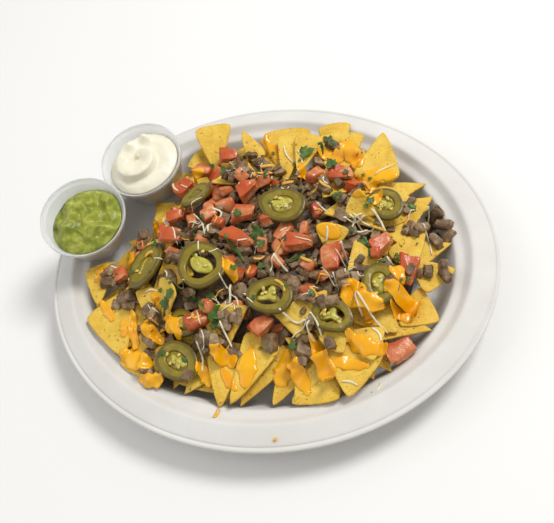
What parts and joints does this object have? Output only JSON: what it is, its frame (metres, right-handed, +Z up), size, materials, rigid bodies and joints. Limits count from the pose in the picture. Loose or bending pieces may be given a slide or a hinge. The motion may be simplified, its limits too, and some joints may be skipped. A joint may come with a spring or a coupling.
{
  "type": "plate of loaded nachos with dips",
  "caption": "Oval moulded-fibre platter heaped with loaded nachos: corn chips, meat, cheese sauce, tomato and pickled peppers, with cups of sour cream and guacamole.",
  "frame": {"origin": "centre of the platter's flat base, on the surface it stands on", "axes": "+X along the platter's long side, away from the cups; +Z up"},
  "size_m": [0.318, 0.27, 0.065],
  "materials": {
    "fibre": "matte moulded plant fibre",
    "plastic": "translucent polypropylene",
    "cream": "moist, softly glossy cream",
    "avocado": "moist avocado mash",
    "meat": "browned chopped meat",
    "corn": "dry fried corn",
    "pickle": "wet pickled pepper",
    "fruit": "wet cut tomato"
  },
  "bodies": {
    "root": {"plate": "fibre", "heap": "meat", "cup_sour_cream": "plastic", "cup_guacamole": "plastic", "sour_cream": "cream", "guacamole": "avocado", "chip_back_1": "corn", "chip_back_2": "corn", "chip_back_3": "corn", "chip_back_4": "corn", "chip_back_5": "corn", "chip_back_6": "corn", "chip_back_7": "corn", "chip_back_8": "corn", "chip_back_9": "corn", "chip_front_1": "corn", "chip_front_2": "corn", "chip_front_3": "corn", "chip_front_4": "corn", "chip_front_5": "corn", "chip_front_6": "corn", "chip_front_7": "corn", "chip_left_1": "corn", "chip_left_2": "corn", "chip_left_3": "corn", "chip_left_4": "corn", "chip_left_5": "corn", "chip_middle_1": "corn", "chip_middle_2": "corn", "chip_right_1": "corn", "chip_right_2": "corn", "chip_right_3": "corn", "chip_right_4": "corn", "chip_right_5": "corn", "chip_right_6": "corn", "pepper_back_1": "pickle", "pepper_back_2": "pickle", "pepper_front_1": "pickle", "pepper_front_2": "pickle", "pepper_front_3": "pickle", "pepper_front_4": "pickle", "pepper_left_1": "pickle", "pepper_left_2": "pickle", "pepper_right_1": "pickle", "pepper_right_2": "pickle", "tomato_back_1": "fruit", "tomato_back_2": "fruit", "tomato_back_3": "fruit", "tomato_back_4": "fruit", "tomato_back_5": "fruit", "tomato_front_1": "fruit", "tomato_left_1": "fruit", "tomato_left_2": "fruit", "tomato_middle_1": "fruit", "tomato_middle_2": "fruit", "tomato_middle_3": "fruit", "tomato_middle_4": "fruit", "tomato_right_1": "fruit", "tomato_right_2": "fruit", "tomato_right_3": "fruit"}
  },
  "joints": []
}
